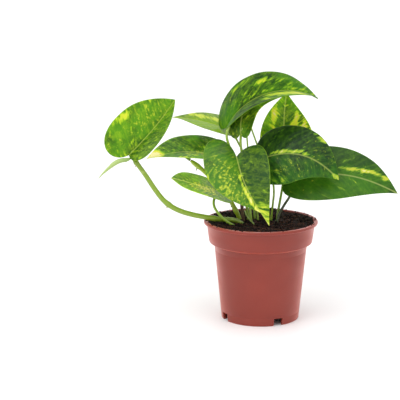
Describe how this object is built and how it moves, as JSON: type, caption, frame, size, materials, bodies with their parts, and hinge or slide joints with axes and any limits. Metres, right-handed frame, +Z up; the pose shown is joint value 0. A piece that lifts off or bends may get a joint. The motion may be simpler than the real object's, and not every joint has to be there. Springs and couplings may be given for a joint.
{
  "type": "potted pothos plant",
  "caption": "Trailing house plant with variegated heart-shaped leaves on slender stalks, rooted in soil in a round tapered plastic nursery pot with a rim band and a slotted foot.",
  "frame": {"origin": "under the middle of the whole plant, leaves included, on the surface that the pot stands on; the pot's axis stands at x = 13 mm, y = -6 mm", "axes": "+Z up along the pot's axis; -Y is the front of the plant, as pictured; +X to the right seen from the front"},
  "size_m": [0.3123, 0.1355, 0.2577],
  "materials": {
    "pot": "terracotta-coloured moulding, satin gloss",
    "soil": "damp, crumbly potting soil",
    "vine": "smooth green stem, soft sheen",
    "old_stem": "dry brown stem, dull",
    "petiole": "smooth green stalk, soft sheen",
    "leaf_far_left": "waxy leaf, bright green with paler veins",
    "leaf_upper_left": "waxy leaf, pale yellow-green",
    "leaf_top": "waxy leaf, green with pale yellow patches",
    "leaf_centre": "waxy leaf, green with a pale yellow edge",
    "leaf_upper_right": "waxy leaf, green with cream stripes",
    "leaf_right": "waxy leaf, dark green with a yellow streak",
    "leaf_front": "waxy leaf, green with yellow speckles",
    "leaf_small_left": "waxy leaf, green with yellow speckles",
    "leaf_left": "waxy leaf, dark green with a cream edge",
    "leaf_far_right": "waxy leaf, green with a cream stripe",
    "young_leaf": "rolled young leaf, pale grey-green"
  },
  "bodies": {
    "root": {"pot": "pot", "soil": "soil", "vine_left": "vine", "vine_middle": "vine", "old_stem": "old_stem", "air_root": "vine", "petiole_far_left": "petiole", "petiole_left": "petiole", "petiole_small_left": "petiole", "petiole_front": "petiole", "petiole_top": "petiole", "petiole_centre": "petiole", "petiole_upper_left": "petiole", "petiole_upper_right": "petiole", "petiole_right": "petiole", "petiole_far_right": "petiole", "young_shoot": "petiole", "side_shoot": "petiole", "leaf_far_left": "leaf_far_left", "leaf_upper_left": "leaf_upper_left", "leaf_top": "leaf_top", "leaf_centre": "leaf_centre", "leaf_upper_right": "leaf_upper_right", "leaf_right": "leaf_right", "leaf_front": "leaf_front", "leaf_small_left": "leaf_small_left", "leaf_left": "leaf_left", "leaf_far_right": "leaf_far_right", "young_leaf": "young_leaf"}
  },
  "joints": []
}
